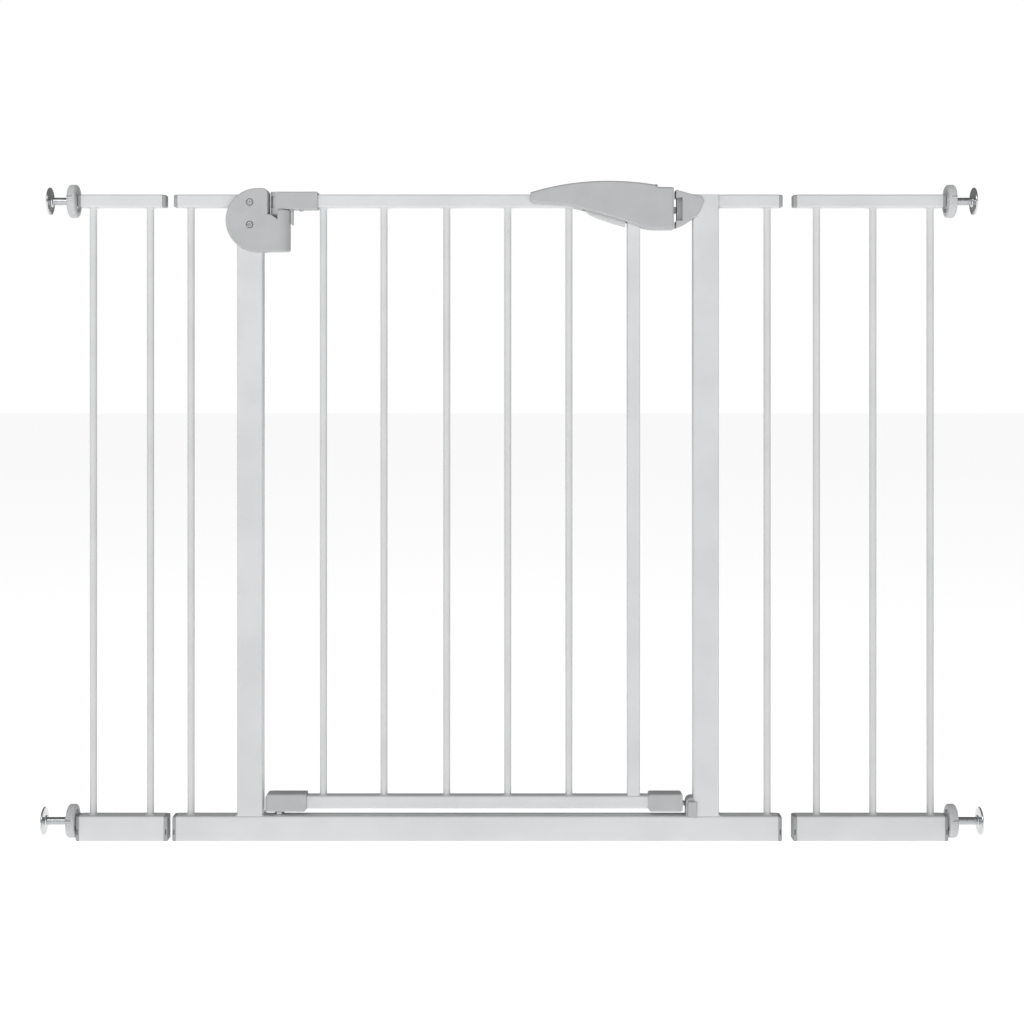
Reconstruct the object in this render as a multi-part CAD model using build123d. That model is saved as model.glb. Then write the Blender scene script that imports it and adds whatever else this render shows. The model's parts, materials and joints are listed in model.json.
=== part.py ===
from build123d import *
import math
import os

# Pressure-fit stair gate: a welded U-frame with a swinging door, one clip-on
# extension panel at each side, and four screw spindles that jam it between two walls.
# Millimetres. +X to the right, -Y to the front, +Z up, Z = 0 under the bottom rail.

os.makedirs("parts", exist_ok=True)

# ---------------------------------------------------------------- driving dimensions
SPAN = 1100.0               # outer face to outer face of the bottom wall cups
TOP_CUP_SPAN = 1086.0       # the top spindles are screwed in a little further

SQUARE = 15.0               # square tube of the door and the top rails
SQUARE_WALL = 1.2
CORNER = 2.0                # outer corner radius of every tube
FRAME_TALL = 30.0           # flat tube of the posts and the bottom rails
FRAME_DEEP = 20.0
FRAME_WALL = 1.5
BAR_R = 4.2                 # round bars
WELD = 1.3                  # weld flare at each bar end

RAIL_Z = 749.5              # axis of all top rails
DOOR_LOW_Z = 45.8           # axis of the door's bottom rail
FOOT_Z = FRAME_TALL / 2     # axis of the bottom rails on the floor
SPINDLE_LOW_Z = 22.4        # axis of the bottom spindles, above the middle of the rail

HINGE_X = -272.8            # the door turns about this vertical line
HINGE_POST_X = -306.5
LATCH_POST_X = 227.0
STILE_X = 142.5             # square upright at the latch end of the door
DOOR_BARS_X = (-221.3, -150.3, -76.6, -5.0, 66.8)
SIDE_BARS_X = (-376.8, 299.5)
LEFT_BARS_X = (-491.4, -424.4)
RIGHT_BARS_X = (357.4, 423.6, 490.9)

FRAME_TOP_ENDS = (-395.8, 316.9)       # plug faces of the middle frame
FRAME_LOW_ENDS = (-397.2, 315.6)
LEFT_TOP_ENDS = (-508.8, -404.9)       # plug faces of the left extension
LEFT_LOW_ENDS = (-510.3, -402.6)
RIGHT_TOP_ENDS = (329.1, 508.8)        # plug faces of the right extension
RIGHT_LOW_ENDS = (328.7, 510.3)

PLUG_FLANGE = 4.5           # thickness of a plug outside its tube
PLUG_STEM = 12.0            # length of a plug inside its tube
PLUG_ROUND = 1.5            # rounded rim of a plug's outer face

ROD_R = 4.5                 # spindle rod
ROD_LENGTH = 96.0
CUP_R = 16.3
CUP_DEPTH = 4.8
WHEEL_R = 19.5
WHEEL_WIDE = 9.8
WHEEL_FLUTES = 14
RUN_GAP = 0.05              # radial clearance of turning and sliding fits
PART_GAP = 0.3              # clearance between parts that pass each other

COVER_HALF = 13.0           # half depth of the hinge cover, and radius of its barrel
CAP_HALF = 10.6             # half depth of the caps on the door rails
HUB_R = 10.3                # round end of the top hinge cap
HANDLE_HALF = 13.5
HANDLE_WALL = 2.3
STRIKE_HALF = 12.5
PIN_R = 3.0                 # hinge pins
BOLT_R = 3.0                # bottom latch bolt
TOP_BOLT = 8.0              # square section of the top latch bolt
LINK_R = 2.0
LATCH_SCREW = (217.5, 747.0)
HINGE_SCREWS_X = -306.0
HINGE_SCREWS_Z = (747.5, 721.3)
LEVER_PIVOT = (91.5, 738.3)
LEVER_PIN_R = 1.2
CAP_SCREW_X = -247.0         # screw up through the top hinge cap into the door's rail
SCREW_R = 1.5               # thread of the small screws
COVER_SCREW_R = 2.0         # thread of the two screws through the hinge cover
BUSH_R = 5.0                # plastic bushes round the hinge pins

RAIL_LOW = RAIL_Z - SQUARE / 2
RAIL_HIGH = RAIL_Z + SQUARE / 2
DOOR_FOOT_TOP = DOOR_LOW_Z + SQUARE / 2


# ---------------------------------------------------------------- helpers
def along_x(x_low, x_high, z_mid, section):
    """Extrude a section drawn in (Y, Z) from x_low to x_high."""
    plane = Plane(origin=(x_low, 0, z_mid), x_dir=(0, 1, 0), z_dir=(1, 0, 0))
    return extrude(plane * section, x_high - x_low)


def bar_x(x_low, x_high, z_mid, tall, deep, corner=CORNER):
    """Solid rounded bar along X, also used to cut a tube's seat."""
    return along_x(x_low, x_high, z_mid, RectangleRounded(deep, tall, corner))


def bar_z(x_mid, z_low, z_high, wide, deep, corner=CORNER):
    """Solid rounded bar along Z."""
    return Pos(x_mid, 0, z_low) * extrude(RectangleRounded(wide, deep, corner), z_high - z_low)


def tube_x(x_low, x_high, z_mid, tall, deep, wall):
    outer = RectangleRounded(deep, tall, CORNER)
    inner = RectangleRounded(deep - 2 * wall, tall - 2 * wall, CORNER - wall + 0.4)
    return along_x(x_low, x_high, z_mid, outer - inner)


def tube_z(x_mid, z_low, z_high, wide, deep, wall):
    outer = RectangleRounded(wide, deep, CORNER)
    inner = RectangleRounded(wide - 2 * wall, deep - 2 * wall, CORNER - wall + 0.4)
    return Pos(x_mid, 0, z_low) * extrude(outer - inner, z_high - z_low)


def box(x_low, x_high, y_low, y_high, z_low, z_high):
    middle = ((x_low + x_high) / 2, (y_low + y_high) / 2, (z_low + z_high) / 2)
    return Pos(*middle) * Box(x_high - x_low, y_high - y_low, z_high - z_low)


def rod_x(x_low, x_high, z, radius):
    return Pos((x_low + x_high) / 2, 0, z) * Rot(0, 90, 0) * Cylinder(radius, x_high - x_low)


def rod_y(x, z, y_low, y_high, radius):
    return Pos(x, (y_low + y_high) / 2, z) * Rot(90, 0, 0) * Cylinder(radius, y_high - y_low)


def rod_z(x, z_low, z_high, radius):
    return Pos(x, 0, (z_low + z_high) / 2) * Cylinder(radius, z_high - z_low)


def side_plate(outline, half_deep):
    """Extrude a side view drawn in (X, Z) to the same depth in front and behind."""
    return extrude(Plane.XZ * outline, half_deep, both=True)


def eased_plate(outline, half_deep, radius):
    """Side plate with its front and back edges rounded."""
    body = side_plate(outline, half_deep)
    body = fillet(body.faces().sort_by(Axis.Y)[0].edges(), radius)
    return fillet(body.faces().sort_by(Axis.Y)[-1].edges(), radius)


def smooth_outline(*curves):
    """A closed side view from curves that run end to end."""
    return make_face(Curve() + list(curves))


def front_and_back(solid):
    """Cut a solid in two at the middle plane, Y = 0."""
    front = solid & box(-700, 700, -60, 0, -50, 900)
    back = solid & box(-700, 700, 0, 60, -50, 900)
    return front, back


def save(name, *solids):
    """Write one node. Several solids stay separate in it."""
    pieces = []
    for solid in solids:
        pieces += solid.solids()
    shape = pieces[0] if len(pieces) == 1 else Compound(children=pieces)
    export_step(shape, "parts/" + name + ".step")


def round_bar(x, z_low, z_high):
    """Upright bar with a weld flare at each end."""
    foot_flare = RadiusArc((BAR_R + WELD, z_low), (BAR_R, z_low + WELD), -WELD)
    side = Line((BAR_R, z_low + WELD), (BAR_R, z_high - WELD))
    head_flare = RadiusArc((BAR_R, z_high - WELD), (BAR_R + WELD, z_high), -WELD)
    top = Line((BAR_R + WELD, z_high), (0, z_high))
    middle = Line((0, z_high), (0, z_low))
    bottom = Line((0, z_low), (BAR_R + WELD, z_low))
    half = smooth_outline(bottom, foot_flare, side, head_flare, top, middle)
    return Pos(x, 0, 0) * revolve(Plane.XZ * half, Axis.Z)


def end_plug(x_face, inward, z_mid, tall, deep, wall, bore_z, through):
    """Plastic end plug; inward is the way its stem points along X. A spindle goes through some."""
    x_tube = x_face + inward * PLUG_FLANGE
    x_stem = x_tube + inward * PLUG_STEM
    flange = bar_x(min(x_face, x_tube), max(x_face, x_tube), z_mid, tall - 0.6, deep - 0.6)
    rim = flange.faces().sort_by(Axis.X)[0 if inward > 0 else -1]
    flange = fillet(rim.edges(), PLUG_ROUND)
    stem = bar_x(min(x_tube, x_stem), max(x_tube, x_stem), z_mid,
                 tall - 2 * wall, deep - 2 * wall, CORNER - wall + 0.4)
    plug = flange + stem
    if through:
        plug -= rod_x(min(x_face, x_stem) - 1, max(x_face, x_stem) + 1, bore_z, ROD_R + RUN_GAP)
    return plug


def top_plug(x_face, inward, through):
    return end_plug(x_face, inward, RAIL_Z, SQUARE, SQUARE, SQUARE_WALL, RAIL_Z, through)


def low_plug(x_face, inward, through):
    return end_plug(x_face, inward, FOOT_Z, FRAME_TALL, FRAME_DEEP, FRAME_WALL, SPINDLE_LOW_Z, through)


def top_rail(ends):
    return tube_x(ends[0] + PLUG_FLANGE, ends[1] - PLUG_FLANGE, RAIL_Z, SQUARE, SQUARE, SQUARE_WALL)


def low_rail(ends):
    return tube_x(ends[0] + PLUG_FLANGE, ends[1] - PLUG_FLANGE, FOOT_Z,
                  FRAME_TALL, FRAME_DEEP, FRAME_WALL)


# ---------------------------------------------------------------- middle frame
def frame_bottom_rail():
    rail = low_rail(FRAME_LOW_ENDS)
    return rail - rod_z(HINGE_X, FRAME_TALL - 5, FRAME_TALL + 1, BUSH_R)


def hinge_post():
    post = tube_z(HINGE_POST_X, FRAME_TALL, RAIL_HIGH - 2, FRAME_TALL, FRAME_DEEP, FRAME_WALL)
    for z in HINGE_SCREWS_Z:
        post -= rod_y(HINGE_SCREWS_X, z, -COVER_HALF, COVER_HALF, COVER_SCREW_R)
    return post


def latch_post():
    post = tube_z(LATCH_POST_X, FRAME_TALL, RAIL_HIGH - FRAME_WALL, FRAME_TALL, FRAME_DEEP, FRAME_WALL)
    post += bar_z(LATCH_POST_X, RAIL_HIGH - FRAME_WALL, RAIL_HIGH, FRAME_TALL, FRAME_DEEP)
    return post - rod_y(LATCH_SCREW[0], LATCH_SCREW[1], 0, COVER_HALF, SCREW_R)


def side_top_rails():
    left = tube_x(FRAME_TOP_ENDS[0] + PLUG_FLANGE, HINGE_POST_X - FRAME_TALL / 2,
                  RAIL_Z, SQUARE, SQUARE, SQUARE_WALL)
    right = tube_x(LATCH_POST_X + FRAME_TALL / 2, FRAME_TOP_ENDS[1] - PLUG_FLANGE,
                   RAIL_Z, SQUARE, SQUARE, SQUARE_WALL)
    return left, right


def frame_plugs():
    plugs = [top_plug(FRAME_TOP_ENDS[0], 1, False), top_plug(FRAME_TOP_ENDS[1], -1, False)]
    plugs += [low_plug(FRAME_LOW_ENDS[0], 1, False), low_plug(FRAME_LOW_ENDS[1], -1, False)]
    return plugs


# ---------------------------------------------------------------- hinge
COVER_MIDDLE = (-297.1, 726.6)
COVER_ROUND = 37.3
COVER_FLAT_Z = 690.6
COVER_TOP = COVER_MIDDLE[1] + COVER_ROUND
NOTCH_X = -285.2
CAM_HIGH = (-281.7, 733.6)
CAM_LOW = (-274.0, 728.2)
BARREL_TOP = 738.3


def cover_outline():
    """D-shaped side view: a big round back, a flat foot and a rounded shoulder."""
    cx, cz = COVER_MIDDLE
    barrel = HINGE_X + COVER_HALF
    foot_x = cx + math.sqrt(COVER_ROUND ** 2 - (cz - COVER_FLAT_Z) ** 2)
    curves = [
        ThreePointArc((cx, COVER_TOP), (cx - COVER_ROUND, cz), (cx, cz - COVER_ROUND)),
        ThreePointArc((cx, cz - COVER_ROUND), (cx + 5.2, cz - math.sqrt(COVER_ROUND ** 2 - 5.2 ** 2)),
                      (foot_x, COVER_FLAT_Z)),
        Line((foot_x, COVER_FLAT_Z), (barrel - 2.5, COVER_FLAT_Z)),
        RadiusArc((barrel - 2.5, COVER_FLAT_Z), (barrel, COVER_FLAT_Z + 2.5), -2.5),
        Line((barrel, COVER_FLAT_Z + 2.5), (barrel, BARREL_TOP)),
        Line((barrel, BARREL_TOP), (CAM_LOW[0], BARREL_TOP)),
        Line((CAM_LOW[0], BARREL_TOP), CAM_LOW),
        Line(CAM_LOW, CAM_HIGH),
        Line(CAM_HIGH, (NOTCH_X, CAM_HIGH[1])),
        Line((NOTCH_X, CAM_HIGH[1]), (NOTCH_X, COVER_TOP - 6)),
        RadiusArc((NOTCH_X, COVER_TOP - 6), (NOTCH_X - 6, COVER_TOP), -6),
        Line((NOTCH_X - 6, COVER_TOP), (cx, COVER_TOP)),
    ]
    return smooth_outline(*curves)


def cap_cone(radius, drop):
    """Cone under the top hinge cap that rides in the cover's cam seat."""
    slope = (CAM_HIGH[1] - CAM_LOW[1]) / (CAM_LOW[0] - CAM_HIGH[0])
    rim_z = CAM_HIGH[1] - drop
    flat_r = HINGE_X * -1 + CAM_LOW[0]
    half = Polyline((0, BARREL_TOP + 8), (radius, BARREL_TOP + 8), (radius, rim_z),
                    (abs(flat_r), rim_z - (radius - abs(flat_r)) * slope),
                    (0, rim_z - (radius - abs(flat_r)) * slope), (0, BARREL_TOP + 8))
    return Pos(HINGE_X, 0, 0) * revolve(Plane.XZ * make_face(half), Axis.Z)


def hinge_cover():
    """Both halves of the cover, hollow round the post, with a solid hinge barrel."""
    body = eased_plate(cover_outline(), COVER_HALF, 1.6)
    plan = box(-340, HINGE_X, -COVER_HALF, COVER_HALF, 680, 780) + rod_z(HINGE_X, 680, 780, COVER_HALF)
    body = body & plan
    wall = 2.6
    room = rod_y(COVER_MIDDLE[0], COVER_MIDDLE[1], -COVER_HALF + wall, COVER_HALF - wall,
                 COVER_ROUND - wall)
    room = room & box(-340, HINGE_POST_X + FRAME_TALL / 2 + PART_GAP, -COVER_HALF, COVER_HALF, 680, 780)
    body -= room
    body -= bar_z(HINGE_POST_X, 680, RAIL_HIGH, FRAME_TALL, FRAME_DEEP)
    body -= bar_x(-350, HINGE_POST_X, RAIL_Z, SQUARE, SQUARE)
    body -= cap_cone(HUB_R + 0.4, 0.5)
    body -= rod_z(HINGE_X, 697, 740, BUSH_R)
    for z in HINGE_SCREWS_Z:
        body -= rod_y(HINGE_SCREWS_X, z, -COVER_HALF - 1, -COVER_HALF + 1.8, 4.6)
        body -= rod_y(HINGE_SCREWS_X, z, -COVER_HALF - 1, COVER_HALF - 1.0, COVER_SCREW_R)
    return front_and_back(body)


def cross_screw(x, z, y_head, way, length, head_r, shank_r):
    """Pan-head screw along Y with a cross recess; way is +1 when the shank points to +Y."""
    y_under = y_head + way * 1.8
    head = rod_y(x, z, min(y_head, y_under), max(y_head, y_under), head_r)
    rim = head.faces().sort_by(Axis.Y)[0 if way > 0 else -1]
    head = fillet(rim.edges(), 0.8)
    y_tip = y_under + way * length
    shank = rod_y(x, z, min(y_under, y_tip), max(y_under, y_tip), shank_r)
    slots = box(x - 1.9, x + 1.9, y_head - 1.0, y_head + 1.0, z - 0.4, z + 0.4)
    slots += box(x - 0.4, x + 0.4, y_head - 1.0, y_head + 1.0, z - 1.9, z + 1.9)
    return head + shank - slots


def frame_screws():
    screws = []
    for z in HINGE_SCREWS_Z:
        screws.append(cross_screw(HINGE_SCREWS_X, z, -COVER_HALF, 1, 2 * COVER_HALF - 3.0,
                                  3.3, COVER_SCREW_R))
    x, z = LATCH_SCREW
    screws.append(cross_screw(x, z, STRIKE_HALF, -1, 8.0, 2.6, SCREW_R))
    return screws


def top_hinge_bush():
    return rod_z(HINGE_X, 697, 722, BUSH_R) - rod_z(HINGE_X, 696, 723, PIN_R + RUN_GAP)


def bottom_hinge_bush():
    bush = rod_z(HINGE_X, 10, FRAME_TALL, BUSH_R) + rod_z(HINGE_X, FRAME_TALL, FRAME_TALL + 0.8, 7.0)
    return bush - rod_z(HINGE_X, 12, FRAME_TALL + 2, PIN_R + RUN_GAP)


def top_hinge_pin():
    return rod_z(HINGE_X, 699, 756.5, PIN_R)


def bottom_hinge_pin():
    return rod_z(HINGE_X, 13, 52, PIN_R)


def bottom_pin_nut():
    nut = Pos(HINGE_X, 0, FRAME_TALL + 0.9) * extrude(RegularPolygon(5.6, 6), 2.9)
    return nut - rod_z(HINGE_X, FRAME_TALL, FRAME_TALL + 6, PIN_R)


# ---------------------------------------------------------------- door
CAP_LOW_Z = 739.6
CAP_HIGH_Z = 760.0
CAP_RIGHT = -227.2
SLEEVE_R = 8.4
RAIL_START = HINGE_X + 10.0
FOOT_CAP = (-288.8, -240.5, 35.2, 56.0)
LATCH_CAP = (160.0, 199.5, 35.2, 56.0)
LOW_BOLT_Z = 43.4


def door_top_rail():
    rail = tube_x(RAIL_START, STILE_X + SQUARE / 2, RAIL_Z, SQUARE, SQUARE, SQUARE_WALL)
    return rail - rod_z(CAP_SCREW_X, RAIL_LOW - 1, RAIL_LOW + 3, SCREW_R)


def door_bottom_rail():
    rail = tube_x(RAIL_START, 176.0, DOOR_LOW_Z, SQUARE, SQUARE, SQUARE_WALL)
    return rail - rod_z(STILE_X, DOOR_LOW_Z, DOOR_FOOT_TOP + 1, LINK_R + 1)


def lock_stile():
    return tube_z(STILE_X, DOOR_FOOT_TOP, RAIL_LOW, SQUARE, SQUARE, SQUARE_WALL)


def top_hinge_cap():
    """Cap on the door's top rail with a round end, a cam cone and a stop tab."""
    body = box(HINGE_X, CAP_RIGHT, -CAP_HALF, CAP_HALF, CAP_LOW_Z, CAP_HIGH_Z)
    edges = body.edges().filter_by(Axis.X)
    body = fillet(edges, 1.6)
    body += rod_z(HINGE_X, CAP_LOW_Z, CAP_HIGH_Z, HUB_R) & box(-290, HINGE_X, -20, 20, 700, 800)
    body = chamfer(body.faces().sort_by(Axis.X)[-1].edges(), 0.8)
    body += cap_cone(HUB_R, 0) & box(-300, -200, -20, 20, 700, CAP_LOW_Z)
    tab_x = HINGE_X + COVER_HALF + PART_GAP
    tab = box(tab_x, tab_x + 2.9, -4, 4, 721.7, CAP_LOW_Z)
    body += chamfer(tab.edges().filter_by(Axis.Y).sort_by(Axis.Z)[:2].sort_by(Axis.X)[:1], 1.5)
    body -= bar_x(RAIL_START, 0, RAIL_Z, SQUARE, SQUARE)
    body -= rod_z(HINGE_X, RAIL_LOW - 1, RAIL_HIGH - 2, SLEEVE_R)
    body -= rod_z(HINGE_X, 720, 757, PIN_R + RUN_GAP)
    body -= rod_z(CAP_SCREW_X, 735, 745, SCREW_R)
    window = box(HINGE_X - 8.9, HINGE_X - 4.3, -30, 30, RAIL_LOW - 1, RAIL_HIGH - 2)
    return body - window


def top_hinge_sleeve():
    sleeve = rod_z(HINGE_X, RAIL_LOW - 1, RAIL_HIGH - 2, SLEEVE_R)
    return sleeve - rod_z(HINGE_X, 735, 760, PIN_R + RUN_GAP)


def cap_screw():
    head = Pos(CAP_SCREW_X, 0, CAP_LOW_Z) * Sphere(2.6)
    head = head & box(-260, -230, -10, 10, CAP_LOW_Z - 2, CAP_LOW_Z)
    return head + rod_z(CAP_SCREW_X, CAP_LOW_Z, RAIL_LOW + 5, SCREW_R)


def foot_cap(x_low, x_high, z_low, z_high):
    """Rounded block round an end of the door's bottom rail."""
    body = box(x_low, x_high, -CAP_HALF, CAP_HALF, z_low, z_high)
    return fillet(body.edges().filter_by(Axis.X), 2.2)


def bottom_hinge_cap():
    x_low, x_high, z_low, z_high = FOOT_CAP
    side = Pos((x_low + x_high) / 2, (z_low + z_high) / 2) * Rectangle(x_high - x_low, z_high - z_low)
    corners = side.vertices().sort_by(Axis.X)
    top_left = corners[:2].sort_by(Axis.Y)[-1]
    side = fillet(top_left, 6.0)
    lower_right = side.vertices().sort_by(Axis.X)[-2:].sort_by(Axis.Y)[0]
    side = chamfer(lower_right, 2.6)
    body = foot_cap(x_low, x_high, z_low, z_high) & side_plate(side, 30)
    ends = box(x_low, x_high, -CAP_HALF, CAP_HALF, z_low, z_high)
    ends = fillet(ends.edges().filter_by(Axis.Z).sort_by(Axis.X)[:2], 5.0)
    body = body & ends
    body -= bar_x(RAIL_START, 0, DOOR_LOW_Z, SQUARE, SQUARE)
    return body - rod_z(HINGE_X, z_low - 1, 53, PIN_R + RUN_GAP)


def bottom_latch_cap():
    x_low, x_high, z_low, z_high = LATCH_CAP
    side = Pos((x_low + x_high) / 2, (z_low + z_high) / 2) * Rectangle(x_high - x_low, z_high - z_low)
    side = chamfer(side.vertices(), 2.0)
    body = foot_cap(x_low, x_high, z_low, z_high) & side_plate(side, 30)
    body -= bar_x(0, 176.0, DOOR_LOW_Z, SQUARE, SQUARE)
    return body - rod_x(170, 220, LOW_BOLT_Z, BOLT_R + RUN_GAP)


def bottom_bolt():
    bolt = rod_x(152, 203.0, LOW_BOLT_Z, BOLT_R)
    tip = bolt.faces().sort_by(Axis.X)[-1]
    return fillet(tip.edges(), 1.2)


def link_rod():
    return rod_z(STILE_X, 48.5, 736.0, LINK_R)


# ---------------------------------------------------------------- handle and lock
HANDLE_TIP = (21.6, 759.0)
HANDLE_RIGHT = 188.9
LEDGE_X = 170.9
LEDGE_Z = 765.4
HANDLE_FOOT = 716.4
HANDLE_SCREWS = ((118.0, 763.4), (168.0, 725.0))
TOP_BOLT_Z = 738.8


def handle_outline(inset=0.0):
    """Wing-shaped side view: an arched back and an S-shaped belly, drawn inset by a wall."""
    nose_x = HANDLE_TIP[0] + 4 * inset
    right = HANDLE_RIGHT - inset
    foot = HANDLE_FOOT + inset
    ledge = LEDGE_Z - inset
    step_x = LEDGE_X - 3.5 - inset / 2
    back = Spline((nose_x, HANDLE_TIP[1]), (56.8, 767.6 - inset), (111.9, 772.5 - inset),
                  (step_x, 768.0 - inset))
    step = Line((step_x, 768.0 - inset), (LEDGE_X, ledge))
    top = Line((LEDGE_X, ledge), (right - 1.2, ledge - 0.3))
    corner = RadiusArc((right - 1.2, ledge - 0.3), (right, ledge - 1.5), 1.2)
    end = Line((right, ledge - 1.5), (right, foot))
    flat = Line((right, foot), (168.0, foot))
    belly = Spline((168.0, foot), (134.7, 724.7 + inset), (104.3, 733.7 + inset),
                   (67.2, 743.0 + inset), (nose_x + 2.9, 747.0 + inset),
                   tangents=[(-1, 0), (-1, 0.06)])
    nose = ThreePointArc((nose_x + 2.9, 747.0 + inset), (nose_x + 0.3, 748.2 + inset),
                         (nose_x - 0.4, 750.5 + inset))
    tip = Line((nose_x - 0.4, 750.5 + inset), (nose_x, HANDLE_TIP[1]))
    return smooth_outline(back, step, top, corner, end, flat, belly, nose, tip)


def handle_shells():
    body = eased_plate(handle_outline(), HANDLE_HALF, 2.6)
    body -= side_plate(handle_outline(HANDLE_WALL), HANDLE_HALF - HANDLE_WALL)
    for x, z in HANDLE_SCREWS:
        body += rod_y(x, z, -HANDLE_HALF + 1, HANDLE_HALF - 1, 3.6)
        body -= rod_y(x, z, -HANDLE_HALF + 4, HANDLE_HALF, SCREW_R)
        body -= rod_y(x, z, HANDLE_HALF - 1.8, HANDLE_HALF + 1, 3.0)
    body -= bar_x(0, STILE_X + SQUARE / 2, RAIL_Z, SQUARE, SQUARE)
    body -= bar_z(STILE_X, 700, RAIL_Z, SQUARE, SQUARE)
    body -= box(82, STILE_X, -6.6, 6.6, 700, RAIL_LOW)
    body -= lever_pin()
    body -= box(180, 200, -TOP_BOLT / 2 - PART_GAP, TOP_BOLT / 2 + PART_GAP,
                TOP_BOLT_Z - TOP_BOLT / 2 - PART_GAP, TOP_BOLT_Z + TOP_BOLT / 2 + PART_GAP)
    body -= box(159.5, 178.5, -5.3, 5.3, LEDGE_Z, 780)
    body -= box(162.5, 175.5, -2.3, 2.3, 755, 780)
    return front_and_back(body)


def top_bolt():
    bolt = box(156.0, 192.6, -TOP_BOLT / 2, TOP_BOLT / 2,
               TOP_BOLT_Z - TOP_BOLT / 2, TOP_BOLT_Z + TOP_BOLT / 2)
    return chamfer(bolt.faces().sort_by(Axis.X)[-1].edges(), 0.8)


def thumb_button():
    """Thumb slide in the handle's back, with a grip ridge at its right end."""
    plate = box(159.9, 170.6, -5.0, 5.0, LEDGE_Z + PART_GAP, 769.4)
    back = Spline((150, 770.6), (160, 769.2), (167.5, 768.0))
    under = Polyline((167.5, 768.0), (168.0, 769.3), (170.2, 769.3), (170.6, 767.6), (172, 760),
                     (150, 760), (150, 770.6))
    shape = side_plate(smooth_outline(back, under), 5.0)
    button = plate & shape
    return button + box(164.0, 168.0, -2.0, 2.0, 756.0, LEDGE_Z + PART_GAP + 0.5)


def release_lever():
    """Finger lever under the handle; it turns about its pin at the left."""
    px, pz = LEVER_PIVOT
    belly = Spline((86.2, 738.4), (90.0, 734.9), (104.8, 728.2), (119.7, 723.2), (132.6, 719.6))
    end = Line((132.6, 719.6), (132.6, 731.5))
    top = Spline((132.6, 731.5), (112.0, 738.0), (px, 741.3))
    knuckle = ThreePointArc((px, 741.3), (88.2, 740.9), (86.2, 738.4))
    lever = side_plate(smooth_outline(belly, end, top, knuckle), 6.0)
    return lever - rod_y(px, pz, -HANDLE_HALF, HANDLE_HALF, LEVER_PIN_R + RUN_GAP)


def lever_pin():
    reach = HANDLE_HALF - HANDLE_WALL
    return rod_y(LEVER_PIVOT[0], LEVER_PIVOT[1], -reach, reach, LEVER_PIN_R)


def handle_screws():
    """Two screws that close the shells from the back."""
    return [cross_screw(x, z, HANDLE_HALF, -1, 2.0 * HANDLE_HALF - 6.0, 2.6, SCREW_R)
            for x, z in HANDLE_SCREWS]


# ---------------------------------------------------------------- strike and catch
def strike_outline():
    """Fin-shaped side view with a rounded point towards the post."""
    top = Line((191.6, 762.0), (220.4, 754.2))
    point = ThreePointArc((220.4, 754.2), (223.4, 751.0), (222.2, 745.5))
    belly = Spline((222.2, 745.5), (214.0, 730.9), (204.5, 723.9), (191.6, 717.8))
    left = Line((191.6, 717.8), (191.6, 762.0))
    return smooth_outline(top, point, belly, left)


STRIKE_WINDOW = (199.1, 725.7, 753.0)
STRIKE_FACE = 193.1
STRIKE_WEB = 6.2


def strike_cover():
    x_high, z_low, z_high = STRIKE_WINDOW
    body = eased_plate(strike_outline(), STRIKE_HALF, 1.2)
    body -= box(180, x_high, -20, 20, z_low, z_high)
    body -= bar_z(LATCH_POST_X, 700, 780, FRAME_TALL, FRAME_DEEP)
    x, z = LATCH_SCREW
    body -= rod_y(x, z, STRIKE_HALF - 1.8, STRIKE_HALF + 1, 2.6)
    return body - rod_y(x, z, 5, STRIKE_HALF, SCREW_R)


def strike_plate():
    x_high, z_low, z_high = STRIKE_WINDOW
    return box(STRIKE_FACE, x_high, -STRIKE_WEB, STRIKE_WEB, z_low, z_high)


def bottom_catch():
    """Catch at the foot of the latch post: a domed nose between two side blocks."""
    nose = box(203.5, 212.0, -8.5, 8.5, FRAME_TALL, 51.5)
    edge = nose.edges().filter_by(Axis.Y).sort_by(Axis.Z)[-2:].sort_by(Axis.X)[0]
    nose = fillet(edge, 6.5)
    block = box(205.5, 216.0, -COVER_HALF, COVER_HALF, FRAME_TALL, 47.1)
    block = fillet(block.edges().filter_by(Axis.Z), 1.5)
    return nose + block - bar_z(LATCH_POST_X, 0, 100, FRAME_TALL, FRAME_DEEP)


# ---------------------------------------------------------------- spindles
def spindle_rod(side, x_cup, z):
    """Threaded rod; side is -1 at the left wall and +1 at the right wall."""
    x_out = side * (x_cup - CUP_DEPTH)
    x_in = side * (x_cup - CUP_DEPTH - ROD_LENGTH)
    return rod_x(min(x_out, x_in), max(x_out, x_in), z, ROD_R)


def about_x(half, side, x_cup, z):
    """Turn a half section (radius, distance from the cup's face) about the spindle's axis."""
    turned = revolve(Plane.XZ * half, Axis.Z)
    return Pos(side * x_cup, 0, z) * Rot(0, -90 * side, 0) * turned


def wall_cup(side, x_cup, z):
    """Shallow pressed-steel cup, riveted on the rod, open towards the wall."""
    half = Polyline((0, 2.2), (11.5, 2.2), (14.4, 0), (CUP_R, 0), (CUP_R, 0.9), (14.6, 1.3),
                    (11.6, 3.4), (6.5, 4.0), (6.5, CUP_DEPTH), (0, CUP_DEPTH), (0, 2.2))
    return about_x(make_face(half), side, x_cup, z)


def wall_pad(side, x_cup, z):
    """Soft disc that fills the cup and rests on the wall."""
    half = Polyline((0, 0), (13.9, 0), (11.2, 2.2), (0, 2.2), (0, 0))
    return about_x(make_face(half), side, x_cup, z)


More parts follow.
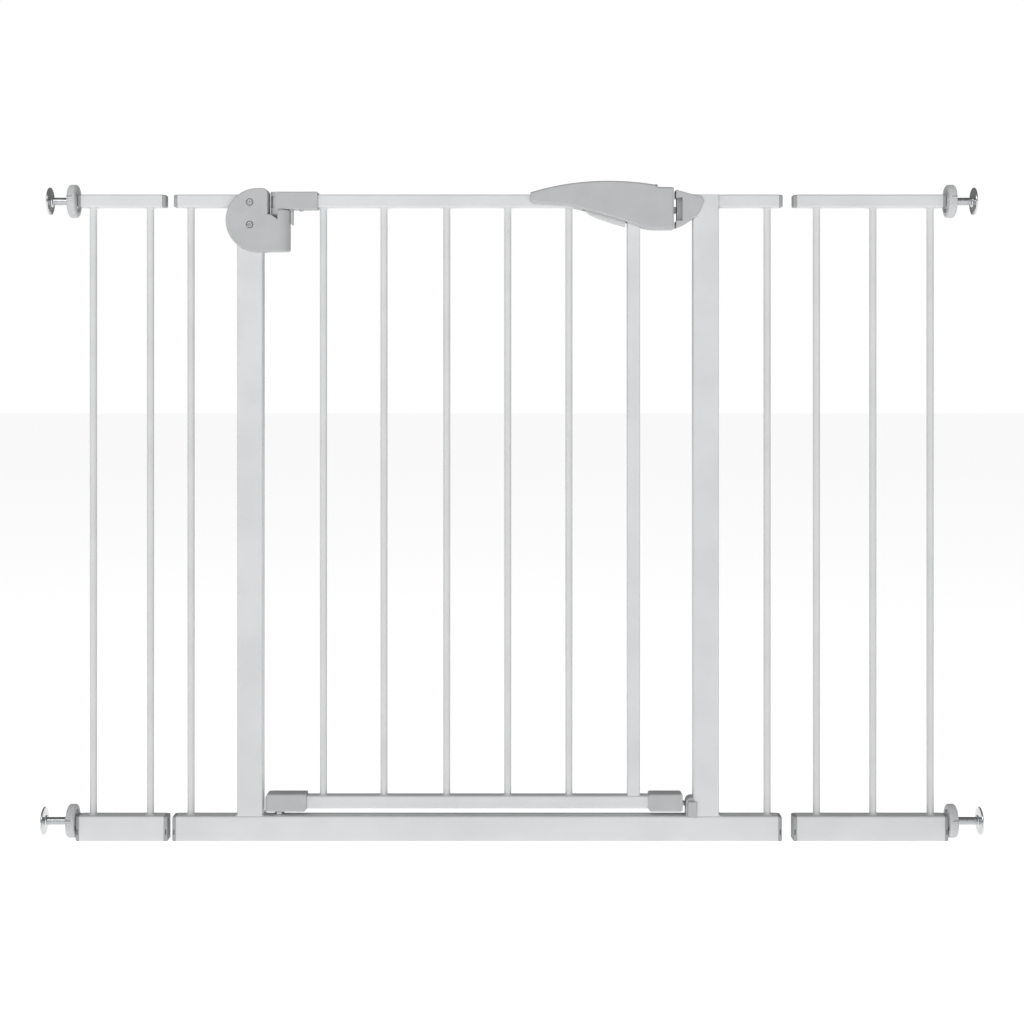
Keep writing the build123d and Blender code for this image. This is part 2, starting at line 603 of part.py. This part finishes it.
def hand_wheel(side, x_plug, z):
    """Fluted hand nut between the cup and the plug."""
    start = x_plug + PART_GAP
    wheel = Cylinder(WHEEL_R, WHEEL_WIDE)
    wheel = fillet(wheel.edges(), 2.2)
    for place in PolarLocations(WHEEL_R + 1.2, WHEEL_FLUTES):
        wheel -= place * Cylinder(2.0, WHEEL_WIDE + 1)
    wheel -= Pos(0, 0, -WHEEL_WIDE / 2) * (Cylinder(13.5, 3.0) - Cylinder(8.0, 3.0))
    wheel -= Cylinder(ROD_R + RUN_GAP, WHEEL_WIDE + 1)
    turn = Rot(0, 90 * side, 0)
    return Pos(side * (start + WHEEL_WIDE / 2), 0, z) * turn * wheel


SPINDLES = {
    "left_top": (-1, TOP_CUP_SPAN / 2, LEFT_TOP_ENDS[0], RAIL_Z),
    "left_bottom": (-1, SPAN / 2, LEFT_LOW_ENDS[0], SPINDLE_LOW_Z),
    "right_top": (1, TOP_CUP_SPAN / 2, RIGHT_TOP_ENDS[1], RAIL_Z),
    "right_bottom": (1, SPAN / 2, RIGHT_LOW_ENDS[1], SPINDLE_LOW_Z),
}


# ---------------------------------------------------------------- write the nodes
def write_frame():
    save("frame_bottom_rail", frame_bottom_rail())
    save("hinge_post", hinge_post())
    save("latch_post", latch_post())
    left, right = side_top_rails()
    save("left_side_top_rail", left)
    save("right_side_top_rail", right)
    save("left_side_bar", round_bar(SIDE_BARS_X[0], FRAME_TALL, RAIL_LOW))
    save("right_side_bar", round_bar(SIDE_BARS_X[1], FRAME_TALL, RAIL_LOW))
    save("frame_end_plugs", *frame_plugs())
    front, back = hinge_cover()
    save("hinge_cover_front", front)
    save("hinge_cover_back", back)
    save("frame_screws", *frame_screws())
    save("top_hinge_bush", top_hinge_bush())
    save("bottom_hinge_bush", bottom_hinge_bush())
    save("strike_cover", strike_cover())
    save("strike_plate", strike_plate())
    save("bottom_catch", bottom_catch())


def write_door():
    save("top_hinge_pin", top_hinge_pin())
    save("bottom_hinge_pin", bottom_hinge_pin())
    save("bottom_pin_nut", bottom_pin_nut())
    save("door_top_rail", door_top_rail())
    save("door_bottom_rail", door_bottom_rail())
    save("door_bars", *[round_bar(x, DOOR_FOOT_TOP, RAIL_LOW) for x in DOOR_BARS_X])
    save("lock_stile", lock_stile())
    save("top_hinge_cap", top_hinge_cap())
    save("top_hinge_sleeve", top_hinge_sleeve())
    save("cap_screw", cap_screw())
    save("bottom_hinge_cap", bottom_hinge_cap())
    save("bottom_latch_cap", bottom_latch_cap())
    front, back = handle_shells()
    save("handle_front_shell", front)
    save("handle_back_shell", back)
    save("handle_screws", *handle_screws())
    save("lever_pin", lever_pin())
    save("release_lever", release_lever())
    save("thumb_button", thumb_button())
    save("top_latch_bolt", top_bolt())
    save("bottom_latch_bolt", bottom_bolt())
    save("latch_link_rod", link_rod())


def write_extension(name, top_ends, low_ends, bars_x, outer):
    """One extension panel; outer is 0 when its wall side is at the low X end."""
    save(name + "_extension_top_rail", top_rail(top_ends))
    save(name + "_extension_bottom_rail", low_rail(low_ends))
    save(name + "_extension_bars", *[round_bar(x, FRAME_TALL, RAIL_LOW) for x in bars_x])
    plugs = []
    for end in (0, 1):
        inward = 1 if end == 0 else -1
        plugs.append(top_plug(top_ends[end], inward, end == outer))
        plugs.append(low_plug(low_ends[end], inward, end == outer))
    save(name + "_extension_plugs", *plugs)


def write_spindles():
    for name, (side, x_cup, x_plug, z) in SPINDLES.items():
        save(name + "_spindle_rod", spindle_rod(side, x_cup, z))
        save(name + "_wall_cup", wall_cup(side, x_cup, z), wall_pad(side, x_cup, z))
        save(name + "_hand_wheel", hand_wheel(side, abs(x_plug), z))


write_frame()
write_door()
write_extension("left", LEFT_TOP_ENDS, LEFT_LOW_ENDS, LEFT_BARS_X, 0)
write_extension("right", RIGHT_TOP_ENDS, RIGHT_LOW_ENDS, RIGHT_BARS_X, 1)
write_spindles()
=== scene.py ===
# %% [markdown]
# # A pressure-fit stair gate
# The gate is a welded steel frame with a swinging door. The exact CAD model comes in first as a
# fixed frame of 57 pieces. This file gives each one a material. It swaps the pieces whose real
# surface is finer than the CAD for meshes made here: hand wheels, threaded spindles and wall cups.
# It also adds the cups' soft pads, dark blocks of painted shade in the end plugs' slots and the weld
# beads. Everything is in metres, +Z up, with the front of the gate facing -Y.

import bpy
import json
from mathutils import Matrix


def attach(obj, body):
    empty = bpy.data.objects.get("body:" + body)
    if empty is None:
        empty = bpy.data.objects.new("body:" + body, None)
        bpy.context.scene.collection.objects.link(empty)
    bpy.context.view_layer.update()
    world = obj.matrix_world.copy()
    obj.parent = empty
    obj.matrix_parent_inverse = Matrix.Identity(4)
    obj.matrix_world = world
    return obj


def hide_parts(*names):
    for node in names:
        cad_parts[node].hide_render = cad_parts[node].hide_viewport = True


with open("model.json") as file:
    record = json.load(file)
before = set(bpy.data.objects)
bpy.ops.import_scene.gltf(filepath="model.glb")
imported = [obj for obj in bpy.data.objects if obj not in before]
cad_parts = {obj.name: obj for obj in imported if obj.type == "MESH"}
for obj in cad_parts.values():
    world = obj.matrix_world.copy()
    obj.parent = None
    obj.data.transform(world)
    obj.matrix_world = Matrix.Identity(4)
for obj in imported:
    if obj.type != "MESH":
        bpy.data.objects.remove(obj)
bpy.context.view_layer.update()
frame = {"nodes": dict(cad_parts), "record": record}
nodes = frame["nodes"]
print("CAD pieces:", len(nodes))

# %% [markdown]
# ## Units and small helpers
# The drawings of such a gate are in millimetres, so one short function turns them into metres.
# Hex colours are what a person reads off a colour chart, and they carry the sRGB curve. Shaders
# want linear light, so one function undoes the curve for every colour in the file.

# %% Millimetres and colours
import json
import math

import bmesh
import bpy
from mathutils import Vector


def mm(value):
    return value / 1000.0


def linear(code):
    """Turn a hex colour into linear red, green, blue and alpha."""
    parts = [int(code[i:i + 2], 16) / 255.0 for i in (1, 3, 5)]
    bent = [c / 12.92 if c <= 0.04045 else ((c + 0.055) / 1.055) ** 2.4 for c in parts]
    return (*bent, 1.0)


print("mid grey is", [round(c, 3) for c in linear("#808080")])

# %% [markdown]
# ## Node helper
# A shader is a graph, and building it by hand repeats the same three lines many times. This helper
# adds one node, sets its inputs by name, and links the sockets that come from other nodes. It reads
# well because each call is one node of the graph.

# %% A helper that adds one shader node


def add(tree, kind, settings=None, links=None, **fields):
    """Add a node; settings fill its inputs, links are sockets of earlier nodes."""
    node = tree.nodes.new(kind)
    for name, value in fields.items():
        setattr(node, name, value)
    for name, value in (settings or {}).items():
        node.inputs[name].default_value = value
    for name, socket in (links or {}).items():
        tree.links.new(socket, node.inputs[name])
    return node


def new_material(name):
    material = bpy.data.materials.new(name)
    material.use_nodes = True
    tree = material.node_tree
    tree.nodes.clear()
    place = add(tree, "ShaderNodeTexCoord").outputs["Object"]
    return material, tree, place


def finish_material(tree, shader):
    add(tree, "ShaderNodeOutputMaterial", links={"Surface": shader.outputs["BSDF"]})


print("helper ready")

# %% [markdown]
# ## Powder coat on the steel
# The tubes are dipped, dried and sprayed with a light grey polyester powder, then baked. The powder
# melts into a smooth satin skin with a faint orange peel, about one ripple every 2 mm. Two noise
# scales carry it: a fine one for the ripple, and a broad one that lets the gloss wander, so long
# flat tubes do not look like paper.

# %% Powder-coated steel


def powder_coat(name, light, dark):
    material, tree, place = new_material(name)
    peel = add(tree, "ShaderNodeTexNoise", {"Scale": 1 / mm(2.2), "Detail": 2.0}, {"Vector": place})
    broad = add(tree, "ShaderNodeTexNoise", {"Scale": 1 / mm(70), "Detail": 3.0}, {"Vector": place})
    tint = add(tree, "ShaderNodeValToRGB", {}, {"Fac": broad.outputs["Fac"]})
    tint.color_ramp.elements[0].color = linear(dark)
    tint.color_ramp.elements[0].position = 0.35
    tint.color_ramp.elements[1].color = linear(light)
    tint.color_ramp.elements[1].position = 0.6
    gloss = add(tree, "ShaderNodeMapRange", {"From Min": 0.3, "From Max": 0.7,
                                             "To Min": 0.34, "To Max": 0.44},
                {"Value": broad.outputs["Fac"]})
    bump = add(tree, "ShaderNodeBump", {"Strength": 0.12, "Distance": mm(0.05)},
               {"Height": peel.outputs["Fac"]})
    shader = add(tree, "ShaderNodeBsdfPrincipled", {},
                 {"Base Color": tint.outputs["Color"], "Roughness": gloss.outputs["Result"],
                  "Normal": bump.outputs["Normal"]})
    finish_material(tree, shader)
    return material


steel_paint = powder_coat("powder_coated_steel", "#d9dadb", "#d3d4d5")
print("made", steel_paint.name)

# %% [markdown]
# ## Moulded plastic
# The covers, handle and hand wheels are injection moulded. The mould's cavity is spark eroded, which
# leaves a fine even grain of about 0.5 mm. It kills sharp reflections, so the plastic reads as matte
# next to the paint. One function makes all the plastics, because only colour, grain and gloss differ.

# %% Grained moulded plastics


def moulded(name, light, dark, grain, rough):
    material, tree, place = new_material(name)
    spark = add(tree, "ShaderNodeTexNoise", {"Scale": 1 / mm(grain), "Detail": 4.0},
                {"Vector": place})
    flow = add(tree, "ShaderNodeTexNoise", {"Scale": 1 / mm(22), "Detail": 2.0}, {"Vector": place})
    tint = add(tree, "ShaderNodeValToRGB", {}, {"Fac": flow.outputs["Fac"]})
    tint.color_ramp.elements[0].color = linear(dark)
    tint.color_ramp.elements[0].position = 0.3
    tint.color_ramp.elements[1].color = linear(light)
    tint.color_ramp.elements[1].position = 0.65
    dull = add(tree, "ShaderNodeMapRange", {"From Min": 0.35, "From Max": 0.65,
                                            "To Min": rough - 0.05, "To Max": rough + 0.05},
               {"Value": spark.outputs["Fac"]})
    bump = add(tree, "ShaderNodeBump", {"Strength": 0.35, "Distance": mm(0.06)},
               {"Height": spark.outputs["Fac"]})
    shader = add(tree, "ShaderNodeBsdfPrincipled", {},
                 {"Base Color": tint.outputs["Color"], "Roughness": dull.outputs["Result"],
                  "Normal": bump.outputs["Normal"]})
    finish_material(tree, shader)
    return material


grey_plastic = moulded("grained_grey_abs", "#b8b9ba", "#b3b4b5", 0.5, 0.52)
pale_plastic = moulded("grained_pale_abs", "#cbcccd", "#c6c7c8", 0.5, 0.48)
plug_plastic = moulded("moulded_polyethylene_plug", "#a6a7a8", "#9d9e9f", 0.7, 0.58)
print("made", grey_plastic.name, pale_plastic.name, plug_plastic.name)

# %% [markdown]
# ## Metals and rubber
# Spindles, pins and bolts are turned steel with a bright zinc plating. Turning and plating leave thin
# cloudy streaks, so the roughness follows a stretched noise. The wall cups are pressed from polished
# sheet and get a smoother version. The pads are soft rubber with a talc-dull skin, and the same dark
# rubber also paints the shade in the end plugs' slots.

# %% Zinc-plated steel, polished steel and rubber


def bright_metal(name, colour, rough_low, rough_high, streak):
    material, tree, place = new_material(name)
    stretch = add(tree, "ShaderNodeMapping", {"Scale": streak}, {"Vector": place})
    cloud = add(tree, "ShaderNodeTexNoise", {"Scale": 1 / mm(6), "Detail": 5.0},
                {"Vector": stretch.outputs["Vector"]})
    rough = add(tree, "ShaderNodeMapRange", {"From Min": 0.3, "From Max": 0.7,
                                             "To Min": rough_low, "To Max": rough_high},
                {"Value": cloud.outputs["Fac"]})
    bump = add(tree, "ShaderNodeBump", {"Strength": 0.08, "Distance": mm(0.03)},
               {"Height": cloud.outputs["Fac"]})
    shader = add(tree, "ShaderNodeBsdfPrincipled",
                 {"Base Color": linear(colour), "Metallic": 1.0},
                 {"Roughness": rough.outputs["Result"], "Normal": bump.outputs["Normal"]})
    finish_material(tree, shader)
    return material


def dull_rubber(name, colour):
    material, tree, place = new_material(name)
    skin = add(tree, "ShaderNodeTexNoise", {"Scale": 1 / mm(0.8), "Detail": 3.0}, {"Vector": place})
    rough = add(tree, "ShaderNodeMapRange", {"To Min": 0.75, "To Max": 0.9},
                {"Value": skin.outputs["Fac"]})
    bump = add(tree, "ShaderNodeBump", {"Strength": 0.3, "Distance": mm(0.1)},
               {"Height": skin.outputs["Fac"]})
    shader = add(tree, "ShaderNodeBsdfPrincipled", {"Base Color": linear(colour)},
                 {"Roughness": rough.outputs["Result"], "Normal": bump.outputs["Normal"]})
    finish_material(tree, shader)
    return material


zinc = bright_metal("bright_zinc_plated_steel", "#b8babc", 0.22, 0.38, (3.0, 1.0, 1.0))
polished = bright_metal("polished_pressed_steel", "#d4d5d6", 0.14, 0.24, (1.0, 1.0, 1.0))
# dark rubber for the pads, also used as painted shade in the end plugs' slots
pad_rubber_and_slot_shade = dull_rubber("talc_dull_rubber_and_slot_shade", "#5a5b5c")
print("made", zinc.name, polished.name, pad_rubber_and_slot_shade.name)

# %% [markdown]
# ## Dress the CAD pieces
# The record names a material slot for every node. The same finish goes on every node of a slot, so
# the loop below follows the record instead of listing 57 names.

# %% One finish for each slot
FINISHES = {
    "painted_steel": steel_paint,
    "grey_abs": grey_plastic,
    "light_abs": pale_plastic,
    "plug_plastic": plug_plastic,
    "zinc_steel": zinc,
}
for part in frame["record"]["subparts"]:
    mesh = nodes[part["node"]].data
    mesh.materials.clear()
    mesh.materials.append(FINISHES[part["material_slot"]])

# %% [markdown]
# ## Turned pieces
# Wheels, cups and spindles are all round about the same kind of axis, which runs along X through a
# corner of the gate. Each starts as a half profile of (distance along the axis, radius) points, and
# one spin sweeps it round. The full spin merges its own last ring with its first, and the points on
# the axis are merged afterwards, so the skin closes.

# %% Spin a profile about a spindle's axis
# side of the gate, wall face of the cup, face of the rail's plug, height; in millimetres
CORNERS = {
    "left_top": (-1, 543.0, 508.8, 749.5),
    "left_bottom": (-1, 550.0, 510.3, 22.4),
    "right_top": (1, 543.0, 508.8, 749.5),
    "right_bottom": (1, 550.0, 510.3, 22.4),
}
MERGE = 1e-6
SMOOTH_ANGLE = 35.0


def spun(profile, steps):
    """Closed profile in mm as (x, radius), swept round the X axis."""
    bm = bmesh.new()
    ring = [bm.verts.new((mm(x), 0, mm(r))) for x, r in profile]
    edges = [bm.edges.new((a, b)) for a, b in zip(ring, ring[1:])]
    edges.append(bm.edges.new((ring[-1], ring[0])))
    bmesh.ops.spin(bm, geom=ring + edges, cent=(0, 0, 0), axis=(1, 0, 0),
                   angle=2 * math.pi, steps=steps, use_merge=True)
    bmesh.ops.remove_doubles(bm, verts=bm.verts, dist=MERGE)
    bmesh.ops.dissolve_degenerate(bm, edges=bm.edges, dist=MERGE)
    return bm


def piece(name, bm, material, body, smooth_angle=SMOOTH_ANGLE):
    """Turn a bmesh into an object that rides on a body."""
    bmesh.ops.recalc_face_normals(bm, faces=bm.faces)
    for face in bm.faces:
        face.smooth = True
    for edge in bm.edges:
        edge.smooth = edge.calc_face_angle(0.0) < math.radians(smooth_angle)
    mesh = bpy.data.meshes.new(name)
    bm.to_mesh(mesh)
    bm.free()
    mesh.materials.append(material)
    obj = bpy.data.objects.new(name, mesh)
    bpy.context.collection.objects.link(obj)
    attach(obj, body)
    print(name, len(mesh.polygons), "faces")
    return obj


def to_corner(bm, side, x, z):
    """Mirror for the left wall, then move out to the corner."""
    if side < 0:
        bmesh.ops.scale(bm, vec=(-1, 1, 1), verts=bm.verts)
    bmesh.ops.translate(bm, vec=(mm(side * x), 0, mm(z)), verts=bm.verts)


print("corners:", sorted(CORNERS))

# %% [markdown]
# ## Hand wheels
# Each spindle is tightened by a round nut as wide as a finger, turned between thumb and fingers. Its
# rim carries fine ribs for grip, and its shoulders are rounded because it is pulled out of a mould.
# The wheel is spun with many steps, and then the rim's vertices are pushed in and out to make ribs,
# which costs far fewer faces than cutting them. The same loop sinks one short notch in the outer
# half of the rim, which faces the user and shows how far the wheel has been turned.

# %% Ribbed hand wheels
WHEEL_STEPS = 224
WHEEL_RIBS = 56
RIB_DEEP = 0.6
NOTCH_TURN = math.radians(165.0)
NOTCH_HALF = math.radians(4.0)
NOTCH_FROM = 4.8
NOTCH_DEEP = 3.0
GRIP_FROM = 18.8
WHEEL_SMOOTH = 50.0
WHEEL_PROFILE = [
    (0.3, 4.6), (0.3, 8.0), (0.8, 8.3), (2.6, 8.6), (2.6, 12.9), (0.9, 13.3), (0.3, 13.7),
    (0.3, 16.6), (0.6, 18.0), (1.4, 19.0), (2.4, 19.45), (3.4, 19.5), (5.2, 19.5), (7.0, 19.5),
    (8.0, 19.45), (9.0, 19.0), (9.8, 18.0), (10.1, 16.6), (10.1, 14.0), (9.6, 13.4), (9.6, 9.0),
    (10.1, 8.4), (10.1, 4.6),
]


def hand_wheel(side, x_plug, z):
    bm = spun(WHEEL_PROFILE, WHEEL_STEPS)
    for vert in bm.verts:
        radius = math.hypot(vert.co.y, vert.co.z)
        if radius > mm(GRIP_FROM):
            turn = math.atan2(vert.co.z, vert.co.y) * WHEEL_RIBS
            cut = mm(RIB_DEEP) * (0.5 + 0.5 * math.cos(turn))
            if abs(turn / WHEEL_RIBS - NOTCH_TURN) < NOTCH_HALF and vert.co.x > mm(NOTCH_FROM):
                cut = mm(NOTCH_DEEP)
            vert.co.y *= 1 - cut / radius
            vert.co.z *= 1 - cut / radius
    to_corner(bm, side, x_plug, z)
    return bm


for corner, (side, _, x_plug, z) in CORNERS.items():
    wheel = piece(corner + "_ribbed_wheel", hand_wheel(side, x_plug, z), pale_plastic,
                  corner + "_wheel", WHEEL_SMOOTH)
    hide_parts(corner + "_hand_wheel")

# %% [markdown]
# ## Threaded spindles
# The spindle is a rolled steel rod with a fine, shallow trapezoidal thread. A thread is one short profile
# that turns and moves along at the same time, which is what a spin with an offset per step does.
# The ends are then cut square with a plane and filled, as a saw and a file would leave them.

# %% Threaded rods
ROD_OUTER = 4.5
ROD_ROOT = 4.4
PITCH = 1.5
ROD_LENGTH = 96.0
TURN_STEPS = 20
CUP_HUB = 4.8
WELD_REACH = 0.01
ROD_SMOOTH = 25.0


def threaded_rod(side, x_cup, z):
    bm = bmesh.new()
    turns = round(ROD_LENGTH / PITCH) + 2
    profile = [(0, ROD_ROOT), (0.35, ROD_OUTER), (0.85, ROD_OUTER), (1.2, ROD_ROOT),
               (PITCH, ROD_ROOT)]
    ring = [bm.verts.new((mm(x - PITCH), 0, mm(r))) for x, r in profile]
    edges = [bm.edges.new((a, b)) for a, b in zip(ring, ring[1:])]
    bmesh.ops.spin(bm, geom=ring + edges, cent=(0, 0, 0), axis=(1, 0, 0),
                   dvec=(mm(PITCH) / TURN_STEPS, 0, 0), angle=2 * math.pi * turns,
                   steps=TURN_STEPS * turns, use_merge=False)
    bmesh.ops.remove_doubles(bm, verts=bm.verts, dist=mm(WELD_REACH))
    for x_cut, way in ((0.0, -1), (ROD_LENGTH, 1)):
        bmesh.ops.bisect_plane(bm, geom=bm.verts[:] + bm.edges[:] + bm.faces[:],
                               plane_co=(mm(x_cut), 0, 0), plane_no=(way, 0, 0), clear_outer=True)
        rim = [e for e in bm.edges
               if e.is_boundary and abs(e.verts[0].co.x - mm(x_cut)) < MERGE * 10]
        bmesh.ops.contextual_create(bm, geom=rim)
    to_corner(bm, side, x_cup - CUP_HUB - ROD_LENGTH, z)
    return bm


for corner, (side, x_cup, _, z) in CORNERS.items():
    rod = piece(corner + "_threaded_spindle", threaded_rod(side, x_cup, z), zinc,
                corner + "_spindle", ROD_SMOOTH)
    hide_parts(corner + "_spindle_rod")

# %% [markdown]
# ## Wall cups and pads
# A cup is a shallow dish pressed from sheet, with a small hub on the rod, a flat skirt with two low
# rings, and a rounded rim so it cannot cut the wall. The rings catch the light as thin bright and
# dark bands. The soft pad lies in the dish and meets the wall.

# %% Pressed cups and their pads
CUP_STEPS = 96
CUP_PROFILE = [
    (1.6, 0.0), (4.8, 0.0), (4.8, 5.6), (4.5, 6.1), (3.4, 6.6), (3.0, 7.6), (3.15, 8.6),
    (2.9, 9.6), (2.65, 11.0), (2.8, 12.2), (2.5, 13.4), (2.3, 14.6), (2.2, 15.4), (1.9, 16.0),
    (1.3, 16.3), (0.6, 16.2), (0.15, 15.8), (0.0, 15.3), (0.0, 13.95), (0.25, 13.9), (1.6, 12.3),
]
PAD_PROFILE = [(1.55, 0.0), (1.55, 12.0), (0.3, 13.6), (0.05, 13.4), (0.0, 12.8), (0.0, 0.0)]


def from_wall(profile):
    """Profiles above count from the wall inwards; flip them to point out of the gate."""
    return [(-x, r) for x, r in profile]


for corner, (side, x_cup, _, z) in CORNERS.items():
    dish = spun(from_wall(CUP_PROFILE), CUP_STEPS)
    to_corner(dish, side, x_cup, z)
    cup = piece(corner + "_pressed_cup", dish, polished, corner + "_spindle")
    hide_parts(corner + "_wall_cup")
    disc = spun(from_wall(PAD_PROFILE), CUP_STEPS)
    to_corner(disc, side, x_cup, z)
    piece(corner + "_soft_pad", disc, pad_rubber_and_slot_shade, corner + "_spindle")

# %% [markdown]
# ## Painted shade in the end plugs' slots
# Each plug of a bottom rail has a narrow slot in its front and in its back, and the shade inside it shows
# as a short upright dark line. A bevelled dark block per slot paints that shade on. It is enough because
# it stands only a tenth of a millimetre proud of the plug.

# %% Painted slot shade
# size, height and placing of the dark blocks that paint the shade in the plugs' slots
SLOT_SHADE_SIZE = (1.5, 0.8, 6.5)
SLOT_SHADE_Z = 11.5
PLUG_HALF_DEEP = 9.7
SLOT_SHADE_SUNK = 0.3
SLOT_SHADE_BEVEL = 0.25
SLOT_SHADE_PLACES = {
    "main_frame": (-395.1, 313.5),
    "left_extension": (-508.2, -404.7),
    "right_extension": (330.8, 508.2),
}


def painted_slot_shade(bm, x, y, z):
    made = bmesh.ops.create_cube(bm, size=1.0)
    bmesh.ops.scale(bm, vec=[mm(v) for v in SLOT_SHADE_SIZE], verts=made["verts"])
    bmesh.ops.translate(bm, vec=(mm(x), mm(y), mm(z)), verts=made["verts"])
    edges = list({e for v in made["verts"] for e in v.link_edges})
    bmesh.ops.bevel(bm, geom=edges, offset=mm(SLOT_SHADE_BEVEL), segments=2, affect="EDGES",
                    profile=0.5, material=-1)


for body, places in SLOT_SHADE_PLACES.items():
    slot_shade_bm = bmesh.new()
    for x in places:
        for y in (-PLUG_HALF_DEEP + SLOT_SHADE_SUNK, PLUG_HALF_DEEP - SLOT_SHADE_SUNK):
            painted_slot_shade(slot_shade_bm, x, y, SLOT_SHADE_Z)
    # one piece of painted shade blocks per body, in the dark rubber grey
    piece(body + "_plug_slot_shade", slot_shade_bm, pad_rubber_and_slot_shade, body)

# %% [markdown]
# ## Weld beads
# The posts are welded to the rails. The bead fills the inside corner with a small hollow fillet,
# ground smooth and painted over. Each bead is one thin section, pushed through the depth of the tube
# with an extrude, and all of them are one piece, because they are one with the painted frame.

# %% Fillets in the frame's corners
BEAD_LEG = 3.0
BEAD_STEPS = 6
HINGE_POST = (-321.5, -291.5)
LATCH_POST = (212.0, 242.0)
FLOOR_RAIL_TOP = 30.0
SIDE_RAIL_UNDER = 742.0
FLOOR_BEAD = 19.0
SIDE_BEAD = 14.0
# corner x and z, the way each leg runs, and the bead's length through the tube
BEADS = [
    (HINGE_POST[1], FLOOR_RAIL_TOP, 1, 1, FLOOR_BEAD),
    (HINGE_POST[0], FLOOR_RAIL_TOP, -1, 1, FLOOR_BEAD),
    (LATCH_POST[0], FLOOR_RAIL_TOP, -1, 1, FLOOR_BEAD),
    (LATCH_POST[1], FLOOR_RAIL_TOP, 1, 1, FLOOR_BEAD),
    (HINGE_POST[0], SIDE_RAIL_UNDER, -1, -1, SIDE_BEAD),
    (LATCH_POST[1], SIDE_RAIL_UNDER, 1, -1, SIDE_BEAD),
]


def bead(bm, x, z, way_x, way_z, deep):
    """Concave fillet in a corner at (x, z) that opens towards way_x, way_z."""
    outline = [(0.0, 0.0)]
    for i in range(BEAD_STEPS + 1):
        turn = math.pi / 2 * i / BEAD_STEPS
        outline.append((BEAD_LEG * (1 - math.sin(turn)), BEAD_LEG * (1 - math.cos(turn))))
    ring = [bm.verts.new((mm(x + way_x * u), mm(-deep / 2), mm(z + way_z * v)))
            for u, v in outline]
    face = bm.faces.new(ring)
    made = bmesh.ops.extrude_face_region(bm, geom=[face])
    moved = [g for g in made["geom"] if isinstance(g, bmesh.types.BMVert)]
    bmesh.ops.translate(bm, vec=(0, mm(deep), 0), verts=moved)


beads_bm = bmesh.new()
for place in BEADS:
    bead(beads_bm, *place)
piece("frame_weld_beads", beads_bm, steel_paint, "main_frame")

# %% [markdown]
# ## Floor, light and camera
# A product picture of a pale gate needs a pale room: a white floor, a white sky, and large soft
# lamps, so edges roll off gently and nothing glares. The sky is bright where the camera sees it and
# dimmer as a light, so the lamps can model the round bars. One lamp stands high at the front left and
# gives the pieces their bright side, and a weaker one fills from the right.

# %% Floor and sky
FLOOR_HALF = 30.0
SKY_LIGHT = 0.2
FLOOR_GLOW = 0.75
FLOOR_DROP = 0.2
floor_bm = bmesh.new()
bmesh.ops.create_grid(floor_bm, x_segments=1, y_segments=1, size=FLOOR_HALF)
floor_mesh = bpy.data.meshes.new("floor")
floor_bm.to_mesh(floor_mesh)
floor_bm.free()
floor = bpy.data.objects.new("floor", floor_mesh)
bpy.context.collection.objects.link(floor)
floor.location.z = -mm(FLOOR_DROP)
floor_paint, floor_tree, floor_place = new_material("matte_white_floor")
floor_noise = add(floor_tree, "ShaderNodeTexNoise", {"Scale": 3.0}, {"Vector": floor_place})
floor_rough = add(floor_tree, "ShaderNodeMapRange", {"To Min": 0.8, "To Max": 0.95},
                  {"Value": floor_noise.outputs["Fac"]})
floor_shader = add(floor_tree, "ShaderNodeBsdfPrincipled",
                   {"Base Color": linear("#fcfcfc"), "Emission Color": linear("#ffffff"),
                    "Emission Strength": FLOOR_GLOW},
                   {"Roughness": floor_rough.outputs["Result"]})
finish_material(floor_tree, floor_shader)
floor_mesh.materials.append(floor_paint)

sky = bpy.data.worlds.new("pale_studio")
bpy.context.scene.world = sky
sky.use_nodes = True
sky_tree = sky.node_tree
sky_tree.nodes.clear()
seen = add(sky_tree, "ShaderNodeLightPath").outputs["Is Camera Ray"]
glow = add(sky_tree, "ShaderNodeMapRange", {"To Min": SKY_LIGHT, "To Max": 1.0}, {"Value": seen})
sky_shader = add(sky_tree, "ShaderNodeBackground", {"Color": linear("#ffffff")},
                 {"Strength": glow.outputs["Result"]})
add(sky_tree, "ShaderNodeOutputWorld", links={"Surface": sky_shader.outputs["Background"]})
print("floor", 2 * FLOOR_HALF, "m wide")

# %% [markdown]
# The lamps are big rectangles a few metres away. A lamp's size sets how soft its shadow is, and its
# distance sets how evenly it lights the metre-wide gate.

# %% Lamps


def lamp(name, power, size, place, target):
    data = bpy.data.lights.new(name, "AREA")
    data.energy = power
    data.shape = "RECTANGLE"
    data.size, data.size_y = size
    obj = bpy.data.objects.new(name, data)
    bpy.context.collection.objects.link(obj)
    obj.location = place
    obj.rotation_euler = (Vector(target) - Vector(place)).to_track_quat("-Z", "Y").to_euler()
    return obj


GATE_MIDDLE = (0, 0, 0.4)
lamp("key", 42.0, (1.6, 1.6), (-1.2, -2.9, 2.3), GATE_MIDDLE)
lamp("fill", 14.0, (2.4, 2.4), (2.2, -2.8, 1.2), GATE_MIDDLE)
print("lamps placed")

# %% [markdown]
# The camera looks straight at the front from 2 m, level, and a little above the middle. The view is
# shifted down instead of tilted, so the posts stay parallel.

# %% Camera
CAMERA_HIGH = 0.534
CAMERA_AWAY = 2.0
SENSOR = 36.0
FIELD_WIDE = 1.2023
SHIFT_DOWN = -0.124
camera_data = bpy.data.cameras.new("front_view")
camera_data.sensor_width = SENSOR
camera_data.lens = SENSOR * CAMERA_AWAY / FIELD_WIDE
camera_data.shift_y = SHIFT_DOWN
camera = bpy.data.objects.new("front_view", camera_data)
bpy.context.collection.objects.link(camera)
camera.location = (0, -CAMERA_AWAY, CAMERA_HIGH)
camera.rotation_euler = (math.pi / 2, 0, 0)
bpy.context.scene.camera = camera
bpy.context.scene.view_settings.view_transform = "Standard"
print("lens", round(camera_data.lens, 1), "mm")
